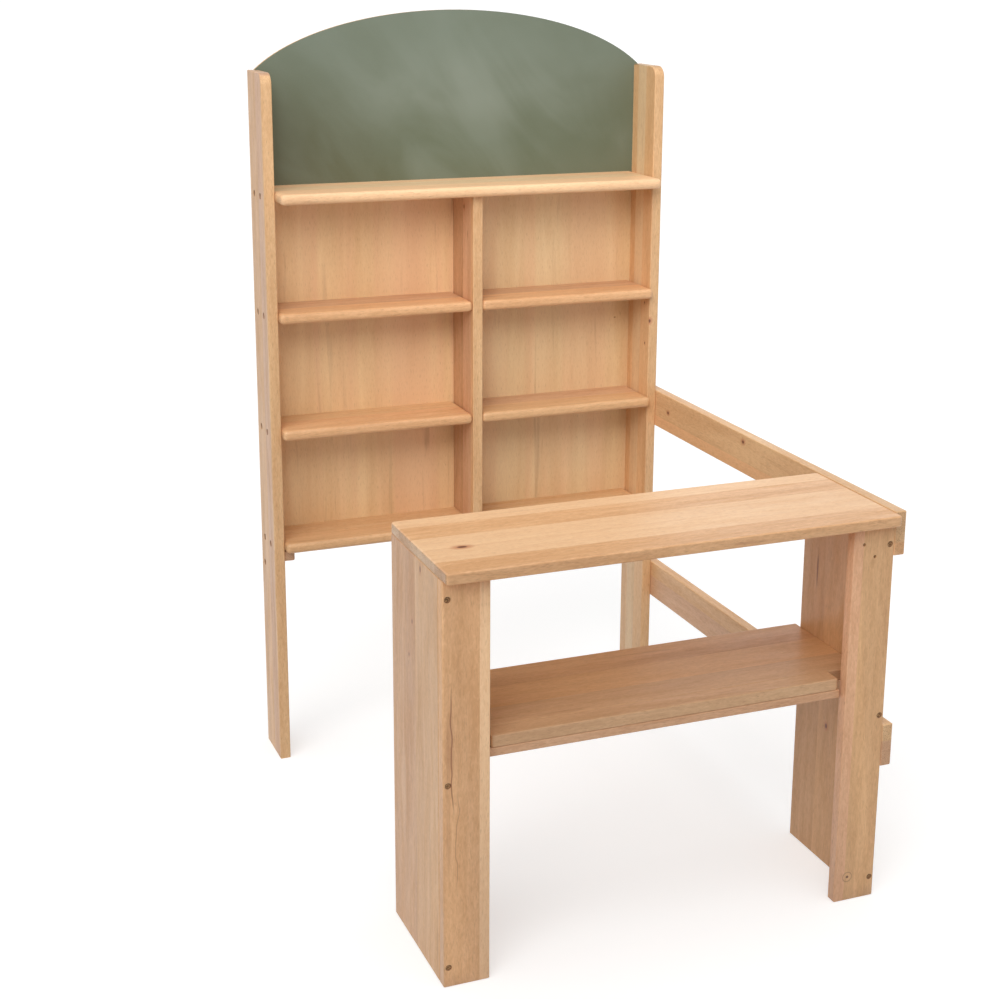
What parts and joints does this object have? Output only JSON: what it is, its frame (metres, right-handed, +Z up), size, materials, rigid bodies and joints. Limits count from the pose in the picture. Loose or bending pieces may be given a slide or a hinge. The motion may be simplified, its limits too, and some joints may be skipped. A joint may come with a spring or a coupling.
{
  "type": "wooden play market stall",
  "caption": "Child-size wooden play market stall: a shelf unit with an arched chalkboard, tied by side rails to a counter with an open shelf.",
  "frame": {"origin": "under the middle of the whole footprint, on the floor", "axes": "+X to the right along the shelf unit, +Y towards the back of the shelf unit, +Z up"},
  "size_m": [0.742, 0.894, 1.2959],
  "materials": {
    "upright_wood": "satin clear lacquer over pale hardwood, grain upright",
    "shelf_wood": "satin clear lacquer over pale hardwood, grain along the shelf",
    "counter_wood": "satin clear lacquer over edge-glued staves",
    "ply": "clear-lacquered thin plywood, grain upright",
    "chalk_face": "matt grey-green chalkboard paint on thin board, dusty"
  },
  "bodies": {
    "root": {"left_upright": "upright_wood", "right_upright": "upright_wood", "chalkboard": "chalk_face", "chalk_ledge": "shelf_wood", "centre_divider": "upright_wood", "bottom_shelf": "shelf_wood", "left_middle_shelf": "shelf_wood", "left_top_shelf": "shelf_wood", "left_back_panel": "ply", "left_shelf_cleat": "shelf_wood", "right_middle_shelf": "shelf_wood", "right_top_shelf": "shelf_wood", "right_back_panel": "ply", "right_shelf_cleat": "shelf_wood", "counter_top": "counter_wood", "counter_left_side": "upright_wood", "counter_left_front": "upright_wood", "counter_right_side": "upright_wood", "counter_right_front": "upright_wood", "counter_shelf": "shelf_wood", "counter_shelf_strip": "shelf_wood", "counter_shelf_batten": "shelf_wood", "counter_shelf_left_cleat": "shelf_wood", "counter_shelf_right_cleat": "shelf_wood", "upper_rail": "upright_wood", "lower_rail": "upright_wood"}
  },
  "joints": []
}
